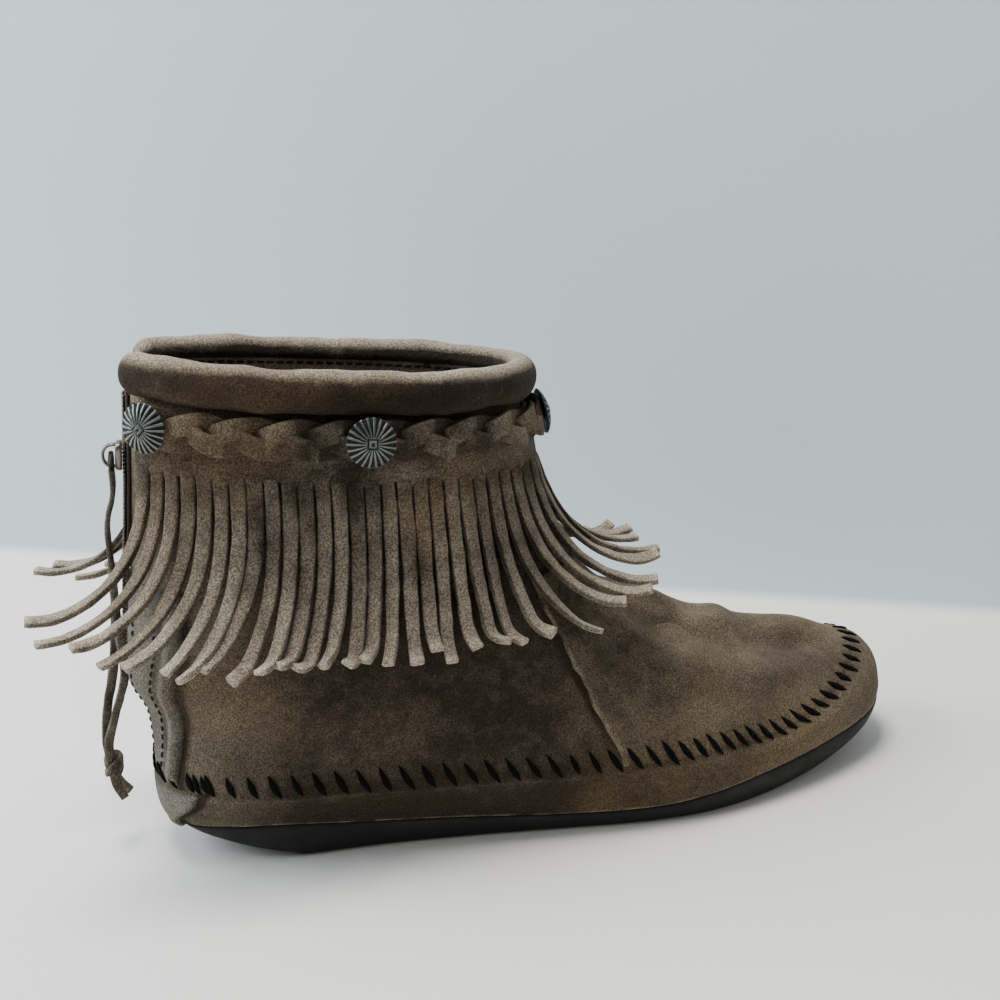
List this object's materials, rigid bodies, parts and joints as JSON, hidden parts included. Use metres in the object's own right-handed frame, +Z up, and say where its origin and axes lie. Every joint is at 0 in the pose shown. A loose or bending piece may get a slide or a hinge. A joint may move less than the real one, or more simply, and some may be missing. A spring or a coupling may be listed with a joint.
{
  "type": "moccasin boot",
  "caption": "Suede ankle moccasin boot for the right foot, with a padded collar roll, a plaited band with fluted conchos, hanging fringe, a back zip and a thin rubber sole.",
  "frame": {"origin": "on the floor under the middle of the shoe length, in the flat underside of the sole", "axes": "+X towards the toe, +Y towards the inner side of the foot, +Z up"},
  "size_m": [0.3006, 0.1079, 0.1646],
  "materials": {
    "suede": "brushed suede with visible nap",
    "fringeSuede": "cut suede strips, paler nap",
    "rollSuede": "folded and padded suede",
    "laceSuede": "suede lace",
    "blackRubber": "matt moulded rubber",
    "pewter": "antique pewter finish with dark recesses",
    "zipTape": "woven tape with a closed coil chain",
    "sliderMetal": "dark metal slider",
    "insoleLeather": "plain leather sock lining"
  },
  "bodies": {
    "root": {"outsole": "blackRubber", "upper": "suede", "insole": "insoleLeather", "collar_roll": "rollSuede", "fringe": "fringeSuede", "braid": "laceSuede", "zip": "zipTape", "zip_slider": "sliderMetal", "zip_pull_lace": "laceSuede", "zip_pull_knot": "laceSuede", "concho_front": "pewter", "concho_outer_mid": "pewter", "concho_outer_back": "pewter", "concho_inner_mid": "pewter", "concho_inner_back": "pewter"}
  },
  "joints": []
}
